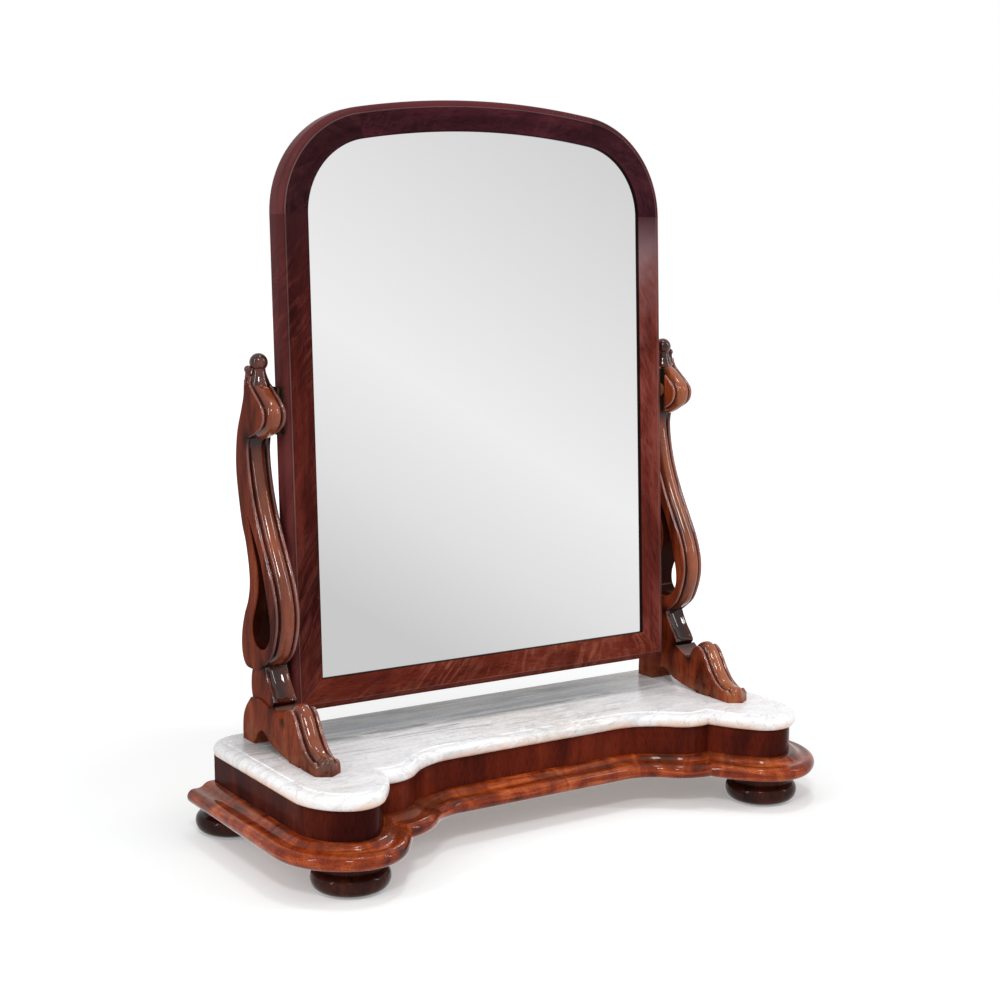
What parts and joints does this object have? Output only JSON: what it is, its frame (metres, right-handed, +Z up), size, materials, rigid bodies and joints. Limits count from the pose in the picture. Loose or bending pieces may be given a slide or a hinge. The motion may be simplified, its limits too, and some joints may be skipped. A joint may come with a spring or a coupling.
{
  "type": "toilet mirror",
  "caption": "Toilet mirror: arched mahogany frame that swings between carved scroll supports on a serpentine moulded base with a marble top and bun feet.",
  "frame": {"origin": "on the floor, under the middle of the bounding box", "axes": "+X to the viewer's right along the front, +Y from the front to the back, +Z up"},
  "size_m": [0.766, 0.3658, 0.8849],
  "materials": {
    "flame_mahogany": "french polish, flame figure",
    "carved_mahogany": "glossy french polish",
    "frieze_mahogany": "glossy french polish over straight-grained veneer",
    "plinth_mahogany": "glossy french polish, worn in places",
    "dark_mahogany": "glossy, dark with age",
    "pine": "bare, darkened with age",
    "marble": "polished white marble with grey bands",
    "silvered_glass": "silvered plate glass",
    "brass": "dull brass",
    "iron": "dark iron screws",
    "leather": "brown leather"
  },
  "bodies": {
    "stand": {"marble_top": "marble", "frieze_centre": "frieze_mahogany", "frieze_left": "frieze_mahogany", "frieze_right": "frieze_mahogany", "back_rail": "pine", "bottom_board": "pine", "plinth_centre": "plinth_mahogany", "plinth_left": "plinth_mahogany", "plinth_right": "plinth_mahogany", "bearer_left": "pine", "bearer_right": "pine", "glue_blocks": "pine", "foot_blocks": "pine", "foot_front_left": "dark_mahogany", "foot_front_right": "dark_mahogany", "foot_back_left": "dark_mahogany", "foot_back_right": "dark_mahogany", "support_left": "carved_mahogany", "support_right": "carved_mahogany", "finial_left": "carved_mahogany", "finial_right": "carved_mahogany", "support_screws": "iron", "socket_plate_left": "brass", "socket_plate_right": "brass", "socket_screws": "brass"},
    "mirror": {"bottom_rail": "flame_mahogany", "stile_left": "flame_mahogany", "stile_right": "flame_mahogany", "shoulder_left": "flame_mahogany", "shoulder_right": "flame_mahogany", "crown": "flame_mahogany", "mirror_glass": "silvered_glass", "glass_wedges": "pine", "backboard": "pine", "backboard_screws": "iron", "pivot_plate_left": "brass", "pivot_plate_right": "brass", "pivot_screws": "brass", "washer_left": "leather", "washer_right": "leather"}
  },
  "joints": [
    {"name": "mirror_tilt", "type": "hinge", "parent": "stand", "child": "mirror", "pos_m": [0, 0.0865, 0.517], "axis": [1, 0, 0], "continuous": true}
  ]
}
